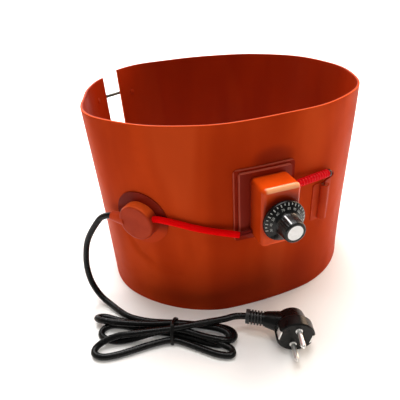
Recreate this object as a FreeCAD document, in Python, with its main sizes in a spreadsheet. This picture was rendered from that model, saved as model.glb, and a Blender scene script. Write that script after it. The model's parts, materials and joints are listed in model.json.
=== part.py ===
import FreeCAD, Part
import math
import os

# Drum heater: an open silicone band with a thermostat, two closing springs, a mains cord and a plug.
# Millimetres, +Z up, thermostat facing -Y, origin at the middle of the foot of the band's box.

DOC = FreeCAD.newDocument("drum_heater")
V = FreeCAD.Vector

SIZES = {
    "band_height": 220.0,
    "band_wall": 2.4,
    "pad_wall": 2.0,
    "flange_wall": 2.7,
    "box_wide": 38.2,
    "box_high": 62.3,
    "box_deep": 31.3,
    "box_wall": 2.2,
    "box_round": 4.5,
    "patch_wall": 1.2,
    "cap_radius": 19.9,
    "cap_deep": 11.6,
    "cap_wall": 2.0,
    "cord_radius": 3.5,
    "sleeve_radius": 3.3,
    "wire_radius": 1.2,
    "capillary_radius": 1.0,
    "capillary_sleeve_radius": 3.6,
    "bulb_radius": 3.5,
    "bulb_high": 38.0,
    "shaft_radius": 3.0,
    "bush_radius": 4.0,
    "bush_gap": 0.05,
    "knob_radius": 20.5,
    "grip_radius": 11.0,
    "stud_radius": 2.0,
    "spring_radius": 2.0,
    "spring_wire": 0.6,
    "plug_radius": 19.0,
    "plug_pin_radius": 2.4,
    "plug_pin_length": 19.0,
    "plug_pin_spacing": 19.0,
    "boot_radius": 7.5,
}
sheet = DOC.addObject("Spreadsheet::Sheet", "sizes")
for row, (alias, value) in enumerate(SIZES.items(), start=1):
    sheet.set(f"A{row}", alias)
    sheet.set(f"B{row}", str(value))
    sheet.setAlias(f"B{row}", alias)
DOC.recompute()
NODES = {}


def size(alias):
    """The value of one size of the sheet."""
    return float(sheet.get(alias))


def bind(thing, **expressions):
    """Binds properties of an object to the sheet."""
    for name, expression in expressions.items():
        thing.setExpression(name.replace("__", "."), expression)
    return thing


def node(label, thing):
    """Keeps an object as a finished sub-part."""
    thing.Label = label
    NODES[label] = thing
    return thing


# The band's line in plan: the length and the radius of each arc, with a minus where it is hollow.
ARCS = [(32.5, 101), (32.5, 196), (32.5, 1656), (32.5, 99), (40, 90), (95, 156), (26, 99), (84, 397),
        (120, 120), (95, 143), (95, 138), (95, 169), (60, 880), (60, 72)]
START = V(-121.9161, 113.5235, 0)
HEADING = math.radians(-128.71613)
BREAKS = [sum(run for run, _ in ARCS[:count]) for count in range(len(ARCS) + 1)]


def station(along):
    """Point, tangent and outward normal of the band's outer face."""
    point, heading, left = V(START), HEADING, along
    for index, (run, radius) in enumerate(ARCS):
        part = left if index == len(ARCS) - 1 else min(run, left)
        turned = heading + part / radius
        point = point + V(math.sin(turned) - math.sin(heading), math.cos(heading) - math.cos(turned), 0) * radius
        heading, left = turned, left - part
        if left <= 1e-9:
            break
    return point, V(math.cos(heading), math.sin(heading), 0), V(math.sin(heading), -math.cos(heading), 0)


def on_wall(along, high=0.0, out=0.0):
    """A point at a height and a distance from the band's outer face."""
    point, _, normal = station(along)
    return point + normal * out + V(0, 0, high)


def frame(origin, along, up, out):
    """A placement with its X, Y and Z along three directions."""
    return FreeCAD.Placement(FreeCAD.Matrix(along.x, up.x, out.x, origin.x, along.y, up.y, out.y, origin.y,
                                            along.z, up.z, out.z, origin.z, 0, 0, 0, 1))


def wall_frame(along, high):
    """X along the band, Y up, Z away from the band."""
    _, tangent, normal = station(along)
    return frame(on_wall(along, high), tangent, V(0, 0, 1), normal)


TURNS = {
    "z": FreeCAD.Rotation(),
    "x": FreeCAD.Rotation(V(0, 1, 0), 90),
    "y": FreeCAD.Rotation(V(1, 0, 0), -90),
}


def put(thing, base, x=0.0, y=0.0, z=0.0, axis="z"):
    """Sets an object in a frame with its own axis along one of the frame's axes."""
    thing.Placement = base.multiply(FreeCAD.Placement(V(x, y, z), TURNS[axis]))
    return thing


def cylinder(name, radius, high):
    """A cylinder of two sizes or expressions of the sheet."""
    return bind(DOC.addObject("Part::Cylinder", name), Radius=str(radius), Height=str(high))


def box(name, length, width, high):
    """A box of three sizes or expressions of the sheet."""
    return bind(DOC.addObject("Part::Box", name), Length=str(length), Width=str(width), Height=str(high))


def fuse(name, *things):
    """One solid of several."""
    thing = DOC.addObject("Part::MultiFuse", name)
    thing.Shapes = list(things)
    return thing


def several(name, *things):
    """Pieces of one kind kept together."""
    thing = DOC.addObject("Part::Compound", name)
    thing.Links = list(things)
    return thing


def cut(name, base, *tools):
    """A solid less one or more others."""
    thing = DOC.addObject("Part::Cut", name)
    thing.Base = base
    thing.Tool = tools[0] if len(tools) == 1 else fuse(name + "_tools", *tools)
    return thing


def body_with_sketch(name, edges, plane="XY_Plane"):
    """A body with one sketch on one of its origin planes."""
    body = DOC.addObject("PartDesign::Body", name)
    sketch = body.newObject("Sketcher::SketchObject", name + "_outline")
    base = next(item for item in body.Origin.OriginFeatures if item.Role == plane)
    sketch.AttachmentSupport = [(base, "")]
    sketch.MapMode = "FlatFace"
    sketch.addGeometry(edges, False)
    return body, sketch


def polygon(points):
    """The sides of a closed outline."""
    corners = [V(*point, 0) for point in points]
    return [Part.LineSegment(a, b) for a, b in zip(corners, corners[1:] + corners[:1])]


def padded(name, edges, length, taper=0.0):
    """A body padded from one outline."""
    body, sketch = body_with_sketch(name, edges)
    pad = body.newObject("PartDesign::Pad", name + "_pad")
    pad.Profile = sketch
    pad.TaperAngle = taper
    bind(pad, Length=str(length))
    sketch.Visibility = False
    return body


def turned(name, points):
    """A body turned about its Z from points of radius and height."""
    body, sketch = body_with_sketch(name, polygon(points), "XZ_Plane")
    spin = body.newObject("PartDesign::Revolution", name + "_turn")
    spin.Profile = sketch
    spin.ReferenceAxis = (sketch, ["V_Axis"])
    spin.Angle = 360
    return body


def rounded(name, body, radius, chosen):
    """Rounds the edges of a body that a test chooses."""
    DOC.recompute()
    base = body.Tip
    edges = [f"Edge{index}" for index, edge in enumerate(base.Shape.Edges, start=1) if chosen(edge)]
    fillet = body.newObject("PartDesign::Fillet", name)
    fillet.Base = (base, edges)
    bind(fillet, Radius=str(radius))
    body.Tip = fillet
    return body


def strip(name, start, end, inner, outer, foot, high):
    """A sheet that lies along the band, between two distances from its outer face."""
    breaks = [start] + [value for value in BREAKS if start + 0.01 < value < end - 0.01] + [end]
    edges = []
    for near, far in zip(breaks, breaks[1:]):
        for out in (inner, outer):
            edges.append(Part.Arc(on_wall(near, 0, out), on_wall((near + far) / 2, 0, out), on_wall(far, 0, out)))
    for along in (start, end):
        edges.append(Part.LineSegment(on_wall(along, 0, inner), on_wall(along, 0, outer)))
    body = padded(name, edges, high)
    bind(body, Placement__Base__z=str(foot))
    return body


def wall_drum(name, along, out):
    """The round drum whose face lies at a distance from the band near one place."""
    index = max(count for count in range(len(ARCS)) if BREAKS[count] <= along)
    radius = ARCS[index][1]
    point, _, normal = station(along)
    thing = cylinder(name, f"{radius} + {out}", "sizes.band_height + 40")
    thing.Placement = FreeCAD.Placement(point - normal * radius - V(0, 0, 20), FreeCAD.Rotation())
    return thing


def tube(name, points, radius, quiet=False):
    """A round rod along straight runs joined by tangent arcs."""
    edges, radii, cursor = [], [], points[0]
    for before, corner, after in zip(points, points[1:], points[2:]):
        inward, outward = (corner - before), (after - corner)
        short = min(inward.Length, outward.Length)
        inward.normalize()
        outward.normalize()
        turn = inward.getAngle(outward)
        reach = 0.45 * short
        arc_start, arc_end = corner - inward * reach, corner + outward * reach
        arc_radius = reach / math.tan(turn / 2)
        middle = (outward - inward).normalize()
        centre = corner + middle * (arc_radius / math.cos(turn / 2))
        edges.append(Part.LineSegment(cursor, arc_start).toShape())
        edges.append(Part.Arc(arc_start, centre + (corner - centre).normalize() * arc_radius, arc_end).toShape())
        radii.append(round(arc_radius, 1))
        cursor = arc_end
    edges.append(Part.LineSegment(cursor, points[-1]).toShape())
    wire = Part.Wire(edges)
    route = DOC.addObject("Part::Feature", name + "_route")
    route.Shape = wire
    ring = bind(DOC.addObject("Part::Circle", name + "_ring"), Radius=str(radius))
    ring.Placement = FreeCAD.Placement(points[0], FreeCAD.Rotation(V(0, 0, 1), points[1] - points[0]))
    sweep = DOC.addObject("Part::Sweep", name)
    sweep.Sections = [ring]
    sweep.Spine = (route, [f"Edge{count}" for count in range(1, len(edges) + 1)])
    sweep.Solid = True
    sweep.Frenet = False
    DOC.recompute()
    section = math.pi * ring.Radius.Value ** 2
    if not quiet:
        print(name, "arc radii", radii, "length", round(wire.Length, 1),
              "volume ratio", round(sweep.Shape.Volume / (section * wire.Length), 4))
    return sweep


# The band and its studs
BAND_END = BREAKS[-1]
WALL = size("band_wall")
PATCH = size("patch_wall")
STUDS = {
    "upper_right": (878.0, 184.9, 10.0),
    "upper_left": (22.0, 197.1, 7.5),
    "lower_right": (878.0, 35.1, 10.0),
    "lower_left": (22.0, 22.9, 7.5),
}
band = strip("band_sheet", 0.0, BAND_END, -WALL, 0.0, 0.0, "sizes.band_height")
holes = []
stud_bodies = {}
for place, (along, high, reach) in STUDS.items():
    hole = put(cylinder(place + "_hole", "sizes.stud_radius", 12), wall_frame(along, high), z=-6)
    holes.append(hole)
    pin = size("stud_radius")
    stud = turned(place + "_stud_turned", [(0, -WALL - 0.7), (2.8, -WALL - 0.7), (2.8, -WALL), (pin, -WALL),
                                           (pin, PATCH), (4.6, PATCH), (4.6, PATCH + 1), (pin, PATCH + 1),
                                           (pin, reach + 1.5), (3.6, reach + 1.5), (3.6, reach + 2.3), (0, reach + 2.3)])
    stud_bodies[place] = put(stud, wall_frame(along, high))
band_cut = node("heater_band", cut("band_with_holes", band, *holes))
for place, (along, high, reach) in STUDS.items():
    patch = strip(place + "_patch_sheet", along - 9, along + 9, 0.0, PATCH, high - 11, 22)
    rounded(place + "_patch_round", patch, 4, lambda edge: abs(edge.Length - PATCH) < 0.01)
    hole = put(cylinder(place + "_patch_hole", "sizes.stud_radius", 6), wall_frame(along, high), z=-2)
    patch_cut = node(place + "_patch", cut(place + "_patch_cut", patch, hole))
    node(place + "_stud", cut(place + "_stud_fit", stud_bodies[place], band_cut, patch_cut))

# The closing springs
RIB = 3.6


def spring(name, right, left):
    """A coil with an open leg and two eyes, round two studs."""
    (s1, z1, d1), (s2, z2, d2) = STUDS[right], STUDS[left]
    start, end = on_wall(s1, z1, d1), on_wall(s2, z2, d2)
    line = end - start
    long = line.Length
    line.normalize()
    eye, wire, coil = 2.9, size("spring_wire"), size("spring_radius")
    coil_start, coil_end = 9.0, long * 0.62
    count = int((coil_end - coil_start) / RIB)
    points = [(0, coil_start)]
    for index in range(count):
        foot = coil_start + index * RIB
        points += [(coil, foot), (coil, foot + RIB / 2), (coil - 0.4, foot + RIB / 2), (coil - 0.4, foot + RIB)]
    points += [(0, coil_start + count * RIB)]
    coil_body = turned(name + "_coil", points)
    coil_body.Placement = FreeCAD.Placement(start, FreeCAD.Rotation(V(0, 0, 1), line))
    leg = cylinder(name + "_leg", "sizes.spring_wire", long - 2 * eye)
    leg.Placement = FreeCAD.Placement(start + line * eye, FreeCAD.Rotation(V(0, 0, 1), line))
    pieces = [coil_body, leg]
    for side, along, centre in (("right", s1, start), ("left", s2, end)):
        normal = station(along)[2]
        flat = ((normal - line * normal.dot(line)).normalize() + normal).normalize()
        ring = bind(DOC.addObject("Part::Torus", f"{name}_{side}_eye"), Radius1=str(eye), Radius2="sizes.spring_wire")
        ring.Placement = FreeCAD.Placement(centre, FreeCAD.Rotation(V(0, 0, 1), flat))
        pieces.append(ring)
    return node(name, fuse(name + "_made", *pieces))


spring("upper_spring", "upper_right", "upper_left")
spring("lower_spring", "lower_right", "lower_left")

# The thermostat's pad and cover
BOX_S, BOX_Z = 328.7, 135.1
BOX = wall_frame(BOX_S, BOX_Z)
PAD = size("pad_wall")
FLANGE = PAD + size("flange_wall")
DEEP = size("box_deep")
FRONT = DEEP - size("box_wall")
pad = strip("thermostat_pad_sheet", BOX_S - 34, BOX_S + 28.5, 0.0, PAD, BOX_Z - 39.6, 79.2)
rounded("thermostat_pad_round", pad, 4, lambda edge: abs(edge.Length - PAD) < 0.01)
node("thermostat_pad", pad)

flange = strip("cover_flange_sheet", BOX_S - 29.5, BOX_S + 24, PAD, FLANGE, BOX_Z - 36.8, 73.6)
rounded("cover_flange_round", flange, 3, lambda edge: abs(edge.Length - (FLANGE - PAD)) < 0.01)
half_wide, half_high = size("box_wide") / 2, size("box_high") / 2
outline = [(-half_wide, -half_high), (half_wide, -half_high), (half_wide, half_high), (-half_wide, half_high)]
hood = padded("cover_hood", polygon(outline), "sizes.box_deep + 3")
rounded("cover_hood_round", hood, "sizes.box_round", lambda edge: edge.BoundBox.ZMax > 1)
put(hood, BOX, z=-3)
inset = size("box_wall")
hollow_outline = [(x - math.copysign(inset, x), y - math.copysign(inset, y)) for x, y in outline]
hollow = padded("cover_hollow", polygon(hollow_outline), "sizes.box_deep + 2 - sizes.box_wall")
rounded("cover_hollow_round", hollow, "sizes.box_round - sizes.box_wall", lambda edge: edge.BoundBox.ZMax > 1)
put(hollow, BOX, z=-2)
corner = put(box("flange_corner_cut", 22, 22, 12), BOX, x=-34.5, y=-50.5, z=-3)
corner.Placement = BOX.multiply(FreeCAD.Placement(V(-31, -28, -3), FreeCAD.Rotation(V(0, 0, 1), -128)))
KNOB_Y = -0.7
front_hole = put(cylinder("cover_front_hole", "sizes.bush_radius + 0.3", 8), BOX, y=KNOB_Y, z=FRONT - 2)
screw_holes = [put(cylinder(f"cover_screw_hole_{side}", 2.0, 8), BOX, y=KNOB_Y + shift, z=FRONT - 2)
               for side, shift in (("high", 14), ("low", -14))]
LEAD_Y, LEAD_D = -26.0, 8.0
lead_hole = put(cylinder("cover_lead_hole", 3.0, 12), BOX, x=-half_wide - 5, y=LEAD_Y, z=LEAD_D, axis="x")
CAPILLARY_Y, CAPILLARY_D = 14.9, 7.5
tail_hole = put(cylinder("cover_capillary_hole", "sizes.capillary_sleeve_radius", 12), BOX,
                x=half_wide - 5, y=CAPILLARY_Y, z=CAPILLARY_D, axis="x")
drum = wall_drum("drum_under_cover", BOX_S, PAD)
cover = cut("cover_made", fuse("cover_joined", flange, hood), hollow, drum, front_hole, *screw_holes,
            lead_hole, tail_hole, corner)
node("thermostat_cover", cover)

# The thermostat inside the cover
PLATE = 1.2
PLATE_D = FRONT - PLATE
PLATE_WIDE = size("box_wide") - 2 * size("box_wall") - 3.8
PLATE_HIGH = size("box_high") - 2 * size("box_wall") - 13.9
plate_blank = put(box("bracket_blank", PLATE_WIDE, PLATE_HIGH, PLATE), BOX,
                  x=-PLATE_WIDE / 2, y=KNOB_Y - PLATE_HIGH / 2, z=PLATE_D)
plate_hole = put(cylinder("bracket_hole", "sizes.bush_radius", 8), BOX, y=KNOB_Y, z=PLATE_D - 2)
plate_screws = [put(cylinder(f"bracket_screw_hole_{side}", 2.0, 8), BOX, y=KNOB_Y + shift, z=PLATE_D - 2)
                for side, shift in (("high", 14), ("low", -14))]
node("thermostat_bracket", cut("bracket_made", plate_blank, plate_hole, *plate_screws))
BODY_D = PLATE_D - 15.0
body_blank = put(box("switch_blank", 26, 40, "15"), BOX, x=-13, y=-20 + KNOB_Y, z=BODY_D)
shaft_hole = put(cylinder("switch_shaft_hole", "sizes.shaft_radius + sizes.bush_gap", 8), BOX, y=KNOB_Y, z=PLATE_D - 6)
screw_ends = [put(cylinder(f"switch_screw_hole_{side}", 2.0, 8), BOX, y=KNOB_Y + shift, z=PLATE_D - 6)
              for side, shift in (("high", 14), ("low", -14))]
node("thermostat_body", cut("switch_made", body_blank, shaft_hole, *screw_ends))
screws = []
for side, shift in (("high", 14), ("low", -14)):
    shank = put(cylinder(f"screw_shank_{side}", 2.0, DEEP - PLATE_D + 6), BOX, y=KNOB_Y + shift, z=PLATE_D - 6)
    head = put(cylinder(f"screw_head_{side}", 3.6, 2.0), BOX, y=KNOB_Y + shift, z=DEEP)
    slot = put(box(f"screw_slot_{side}", 8, 1, 2), BOX, x=-4, y=KNOB_Y + shift - 0.5, z=DEEP + 1.1)
    screws.append(cut(f"screw_{side}", fuse(f"screw_blank_{side}", shank, head), slot))
node("thermostat_screws", several("screws_made", *screws))
node("diaphragm_capsule", put(cylinder("capsule", 9.5, 4), BOX, y=KNOB_Y, z=BODY_D - 4))
tabs = [put(box(f"terminal_{index}", 0.8, 6.3, 6), BOX, x=x, y=y, z=BODY_D - 6)
        for index, (x, y) in enumerate(((-11, -16), (-11, 9), (10, -16)), start=1)]
node("thermostat_terminals", several("terminals_made", *tabs))
BUSH_END = DEEP + 3.2
bush = put(cylinder("bush_outer", "sizes.bush_radius", BUSH_END - PLATE_D), BOX, y=KNOB_Y, z=PLATE_D)
bore = put(cylinder("bush_bore", "sizes.shaft_radius + sizes.bush_gap", 14), BOX, y=KNOB_Y, z=PLATE_D - 2)
node("shaft_bush", cut("bush_made", bush, bore))

# The knob on its shaft
SHAFT_FOOT, SHAFT_TOP = PLATE_D - 5.7, 50.0
shaft = put(cylinder("shaft_round", "sizes.shaft_radius", SHAFT_TOP - SHAFT_FOOT), BOX, y=KNOB_Y, z=SHAFT_FOOT)
flat = put(box("shaft_flat", 8, 4, 14), BOX, x=-4, y=KNOB_Y + 1.7, z=BUSH_END + 1.8)
node("thermostat_shaft", cut("shaft_made", shaft, flat))
KR, GR = size("knob_radius"), size("grip_radius")
knob_points = [(0, 35.5), (6.5, 35.5), (6.5, 34.3), (KR - 1.6, 36.2), (KR - 0.9, 34.3), (KR, 34.3),
               (KR, 37.4), (KR - 0.4, 37.8), (GR + 1.6, 41.8), (GR + 0.3, 42.6), (GR, 43.4), (GR - 0.7, 56.0),
               (GR - 1.5, 57.0), (8.2, 57.0), (8.2, 56.0), (0, 56.0)]
knob_blank = put(turned("knob_turned", knob_points), BOX, y=KNOB_Y)
flutes = []
for index in range(18):
    angle = math.radians(20 * index + 10)
    flute = cylinder(f"knob_flute_{index}", 1.1, 14)
    reach = GR + 0.45
    flutes.append(put(flute, BOX, x=reach * math.cos(angle), y=KNOB_Y + reach * math.sin(angle), z=43.6))
socket = put(cylinder("knob_socket_round", "sizes.shaft_radius", SHAFT_TOP - 30), BOX, y=KNOB_Y, z=30)
socket_flat = put(box("knob_socket_flat", 8, 4, 14), BOX, x=-4, y=KNOB_Y + 1.7, z=BUSH_END + 1.8)
socket_shape = cut("knob_socket", socket, socket_flat)
node("control_knob", cut("knob_made", knob_blank, socket_shape, *flutes))
node("knob_cap", put(cylinder("knob_disc", 8.2, 0.9), BOX, y=KNOB_Y, z=56.0))

# The junction cap, its pad and the cord's relief
CAP_S, CAP_Z = 199.6, 119.9
CAP = wall_frame(CAP_S, CAP_Z)
ring_sheet = strip("junction_pad_sheet", CAP_S - 36, CAP_S + 36, 0.0, PATCH, CAP_Z - 36, 72)
ring_disc = put(cylinder("junction_pad_disc", 30, 24), CAP, z=-12)
ring_pad = DOC.addObject("Part::Common", "junction_pad_made")
ring_pad.Base, ring_pad.Tool = ring_sheet, ring_disc
node("junction_pad", ring_pad)
CR, CD, CW = size("cap_radius"), size("cap_deep"), size("cap_wall")
cap_blank = put(turned("cap_turned", [(0, CD - CW), (CR - CW - 1, CD - CW), (CR - CW, CD - CW - 1), (CR - CW, -3),
                                      (CR, -3), (CR, CD - 2.2), (CR - 0.7, CD - 0.7), (CR - 2.2, CD), (0, CD)]), CAP)
RELIEF_Y, RELIEF_D = -2.0, 5.5
RELIEF_START, RELIEF_END = -15.0, -33.5
relief_cone = DOC.addObject("Part::Cone", "relief_cone")
relief_cone.Radius1, relief_cone.Radius2 = 7.2, 4.75
relief_cone.Height = RELIEF_START - RELIEF_END
relief_turn = FreeCAD.Rotation(V(0, 1, 0), -90)
relief_cone.Placement = CAP.multiply(FreeCAD.Placement(V(RELIEF_START, RELIEF_Y, RELIEF_D), relief_turn))
cord_hole = cylinder("relief_bore", "sizes.cord_radius", 40)
cord_hole.Placement = CAP.multiply(FreeCAD.Placement(V(-4, RELIEF_Y, RELIEF_D), relief_turn))
cap_drum = wall_drum("drum_under_cap", CAP_S, PATCH)
lead_slot = put(cylinder("cap_lead_hole", "sizes.sleeve_radius", 12), CAP, x=13, y=5.6, z=5.2, axis="x")
node("junction_cap", cut("cap_made", cap_blank, relief_cone, cap_drum, lead_slot))
relief_drum = wall_drum("drum_under_relief", CAP_S, PATCH)
node("cord_relief", cut("relief_made", relief_cone, cord_hole, relief_drum))
cord_end = cylinder("cord_end_rod", "sizes.cord_radius", RELIEF_START - RELIEF_END + 3)
cord_end.Placement = CAP.multiply(FreeCAD.Placement(V(RELIEF_START + 3, RELIEF_Y, RELIEF_D), relief_turn))
node("cord_end", cord_end)
splices = [put(cylinder(f"splice_{index}", 1.9, 12), CAP, x=-11.5, y=y, z=5.4, axis="x")
           for index, y in enumerate((-6.4, -2.0, 2.4), start=1)]
node("crimp_splices", several("splices_made", *splices))

# The leads from the cap to the thermostat
LEAD_LINE = [(222.5, 125.3, 4.7), (240.0, 122.6, 4.6), (256.0, 118.0, 4.5), (272.0, 113.6, 4.6), (287.0, 109.6, 5.6),
             (298.0, 107.3, 8.4)]
lead_points = [on_wall(*place) for place in LEAD_LINE]
lead_points.insert(0, CAP.multVec(V(17.0, 5.6, 5.2)))
lead_outer = tube("lead_sleeve_outer", lead_points, "sizes.sleeve_radius")
lead_inner = tube("lead_sleeve_inner", lead_points, "sizes.sleeve_radius - 0.55", quiet=True)
node("lead_sleeve", cut("lead_sleeve_made", lead_outer, lead_inner))
wire_points = [CAP.multVec(V(8.0, 4.8, 5.2)), CAP.multVec(V(17.0, 5.6, 5.2))] + lead_points[1:]
wire_points += [BOX.multVec(V(-19.5, -26.2, 8.2)), BOX.multVec(V(-12.0, -25.0, 7.6))]
wires = []
for index, shift in enumerate((-1.3, 1.3), start=1):
    line = [point + V(0, 0, shift) for point in wire_points]
    wires.append(tube(f"lead_wire_{index}", line, "sizes.wire_radius", quiet=True))
node("lead_wires", several("lead_wires_made", *wires))

# The capillary, its sleeve and the sensor
BULB_S = 395.3
sleeve_line = [BOX.multVec(V(half_wide - 2.2, CAPILLARY_Y, CAPILLARY_D)), on_wall(358.0, 150.1, 7.4),
               on_wall(371.0, 150.6, 6.4), on_wall(384.0, 150.3, 5.6), on_wall(396.8, 149.5, 5.4)]
sleeve_outer = tube("capillary_sleeve_outer", sleeve_line, "sizes.capillary_sleeve_radius")
sleeve_inner = tube("capillary_sleeve_inner", sleeve_line, "sizes.capillary_sleeve_radius - 1", quiet=True)
node("capillary_sleeve", cut("capillary_sleeve_made", sleeve_outer, sleeve_inner))
BULB_D, BULB_Z = size("bulb_radius") + 0.05, 98.0
bulb_top = BULB_Z + size("bulb_high")
capillary_line = [BOX.multVec(V(6.5, CAPILLARY_Y, CAPILLARY_D + 0.2))] + sleeve_line
capillary_line += [on_wall(403.2, 149.1, 5.3), on_wall(405.2, 144.6, 5.0), on_wall(400.6, 142.2, 4.4),
                   on_wall(BULB_S, 140.6, BULB_D), on_wall(BULB_S, bulb_top, BULB_D)]
node("capillary_tube", tube("capillary_made", capillary_line, "sizes.capillary_radius"))
bulb = put(cylinder("bulb", "sizes.bulb_radius", "sizes.bulb_high"), wall_frame(BULB_S, 0), y=BULB_Z, z=BULB_D, axis="y")
node("sensor_bulb", bulb)
patch_sheet = strip("sensor_patch_sheet", 382.5, 408.7, 0.0, PATCH, 94.0, 44.0)
rounded("sensor_patch_round", patch_sheet, 3, lambda edge: abs(edge.Length - PATCH) < 0.01)
ridge = put(cylinder("sensor_ridge", "sizes.bulb_radius + 1.1", 40), wall_frame(BULB_S, 0), y=96.0, z=BULB_D, axis="y")
bulb_space = put(cylinder("bulb_space", "sizes.bulb_radius", 60), wall_frame(BULB_S, 0), y=BULB_Z, z=BULB_D, axis="y")
node("sensor_patch", cut("sensor_patch_made", fuse("sensor_patch_joined", patch_sheet, ridge), bulb_space,
                         wall_drum("drum_under_patch", BULB_S, 0)))

# The cord: the hanging part, the tied hank and the end that runs to the plug
HANK_CENTRE = V(-110.1, -123.9, 0)
HANK_ALONG = V(0.910, -0.415, 0).normalize()
HANK_ACROSS = V(-HANK_ALONG.y, HANK_ALONG.x, 0)
HANK_SECTIONS = [(-90, -28, 16, 0.1, 8), (-80, -36, 21, 0.1, 9), (-60, -39, 22, 0.1, 14), (-30, -27, 18, 0.1, 19),
                 (-5, -17, 15, 1.2, 23), (5, -17, 15, 1.2, 23), (30, -20, 14, 0.1, 22), (55, -30, 9, 0.1, 20),
                 (68, -27, 5, 0.1, 12)]


def hank_outline(left, right, low, top):
    """The eight corners of one section of the hank."""
    side = (top - low) * 0.3
    bevel = min(6.0, (right - left) * 0.2)
    return [(left + bevel / 3, low), (right - bevel / 3, low), (right, low + side), (right, top - side),
            (right - bevel, top), (left + bevel, top), (left, top - side), (left, low + side)]


sections = []
for index, (along, left, right, low, top) in enumerate(HANK_SECTIONS):
    corners = [HANK_CENTRE + HANK_ALONG * along + HANK_ACROSS * across + V(0, 0, high)
               for across, high in hank_outline(left, right, low, top)]
    section = DOC.addObject("Part::Feature", f"hank_section_{index}")
    section.Shape = Part.makePolygon(corners + corners[:1])
    sections.append(section)
hank = DOC.addObject("Part::Loft", "hank_made")
hank.Sections = sections
hank.Solid = True
hank.Ruled = True
node("cord_hank", hank)
_, tie_left, tie_right, tie_low, tie_top = HANK_SECTIONS[4]
tie_inner = hank_outline(tie_left, tie_right, tie_low, tie_top)
tie_outer = hank_outline(tie_left - 1, tie_right + 1, tie_low - 1, tie_top + 1)
tie = padded("tie_pad", polygon(tie_outer) + polygon(tie_inner), 5)
tie.Placement = frame(HANK_CENTRE - HANK_ALONG * 2.5, HANK_ACROSS, V(0, 0, 1), HANK_ALONG)
node("cord_tie", tie)

EXIT = CAP.multVec(V(RELIEF_END, RELIEF_Y, RELIEF_D))
EXIT_WAY = station(CAP_S)[1] * -1
CORD = [EXIT, EXIT + EXIT_WAY * 12 + V(-0.4, -1.2, -1.2), V(-165.5, -37.2, 103.8), V(-178.6, -30.6, 82.0),
        V(-184.4, -29.4, 61.0), V(-187.2, -31.0, 41.0), V(-185.4, -37.0, 23.0), V(-178.0, -47.0, 8.4),
        V(-166.5, -61.0, 4.2), V(-156.5, -77.4, 4.0), V(-146.6, -92.0, 4.1)]
hanging = tube("cord_hanging", CORD, "sizes.cord_radius")
node("mains_cord", cut("cord_hanging_made", hanging, hank, cord_end))

# The plug
PLUG = V(-1.6, -185.4, 19.25)
PIN_WAY = V(-0.2884, -0.9575, 0).normalize()
SIDE = V(-PIN_WAY.y, PIN_WAY.x, 0)
LEVEL = frame(PLUG, SIDE, V(0, 0, 1), PIN_WAY)
ROLLED = LEVEL.multiply(FreeCAD.Placement(V(0, 0, 0), FreeCAD.Rotation(V(0, 0, 1), -14.4)))
PR = size("plug_radius")
disc = put(turned("plug_disc", [(0, -30.0), (9, -30.0), (13.5, -26.5), (16.2, -13.5), (PR - 0.6, -12.6), (PR, -11.6),
                                (PR, -1.2), (PR - 1.2, 0), (13.8, 0), (13.8, -2.2), (0, -2.2)]), LEVEL)
BOOT_FOOT, BOOT_END = V(-25.5, 0, -25.2), V(-45.0, 0, -30.6)
boot_way = (BOOT_END - BOOT_FOOT).normalize()
boot_turn = FreeCAD.Rotation(V(0, 0, 1), boot_way)
boot_long = (BOOT_END - BOOT_FOOT).Length
BR = size("boot_radius")
RIBS = 5
rib_points = [(0, -1), (BR, -1)]
for index in range(RIBS):
    foot = 2.2 + index * (boot_long - 4.6) / RIBS
    rib_points += [(BR, foot), (BR - 1.5, foot), (BR - 1.5, foot + 1.6), (BR, foot + 1.6)]
rib_points += [(BR, boot_long), (0, boot_long)]
boot = turned("plug_boot", rib_points)
boot.Placement = LEVEL.multiply(FreeCAD.Placement(BOOT_FOOT, boot_turn))
arm = DOC.addObject("Part::Cone", "plug_arm")
arm.Radius1, arm.Radius2, arm.Height = 13.0, BR + 0.6, 25.5
arm_foot = V(-1.0, 0, -17.2)
arm_turn = FreeCAD.Rotation(V(0, 0, 1), BOOT_FOOT - arm_foot)
arm.Height = (BOOT_FOOT - arm_foot).Length
arm.Placement = LEVEL.multiply(FreeCAD.Placement(arm_foot, arm_turn))
pin_places = [(side, size("plug_pin_spacing") / 2 * side) for side in (1, -1)]
clip_cuts = [put(box(f"clip_slot_{index}", 4.2, 12, 9), ROLLED, x=x, y=-6, z=-9)
             for index, x in ((1, 15.2), (2, -19.4))]
node("plug_body", cut("plug_made", fuse("plug_joined", disc, arm, boot), *clip_cuts))
insert_blank = put(cylinder("insert_blank", 13.8, 2.2), LEVEL, z=-2.2)
NECK = 0.3
pin_holes = [put(cylinder(f"insert_hole_{index}", "sizes.plug_pin_radius - 0.4", 6), ROLLED, y=y, z=-4)
             for index, (_, y) in enumerate(pin_places)]
earth_hole = put(cylinder("insert_earth_hole", 2.4, 1.6), ROLLED, x=7.0, z=-1.6)
node("plug_insert", cut("insert_made", insert_blank, *pin_holes, earth_hole))
pins = []
for index, (_, y) in enumerate(pin_places):
    neck = put(cylinder(f"pin_neck_{index}", "sizes.plug_pin_radius - 0.4", 2.2 + NECK), ROLLED, y=y, z=-2.2)
    rod = put(cylinder(f"pin_rod_{index}", "sizes.plug_pin_radius", f"sizes.plug_pin_length - 2 - {NECK}"), ROLLED,
              y=y, z=NECK)
    tip = DOC.addObject("Part::Cone", f"pin_tip_{index}")
    bind(tip, Radius1="sizes.plug_pin_radius", Radius2="sizes.plug_pin_radius - 1.2", Height="2")
    put(tip, ROLLED, y=y, z=size("plug_pin_length") - 2)
    pins.append(fuse(f"pin_{index}", neck, rod, tip))
node("plug_pins", several("pins_made", *pins))
clips = [put(box(f"clip_{index}", 1.2, 10, 9), ROLLED, x=x, y=-5, z=-9) for index, x in ((1, 15.2), (2, -16.4))]
node("earth_clips", several("clips_made", *clips))

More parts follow.
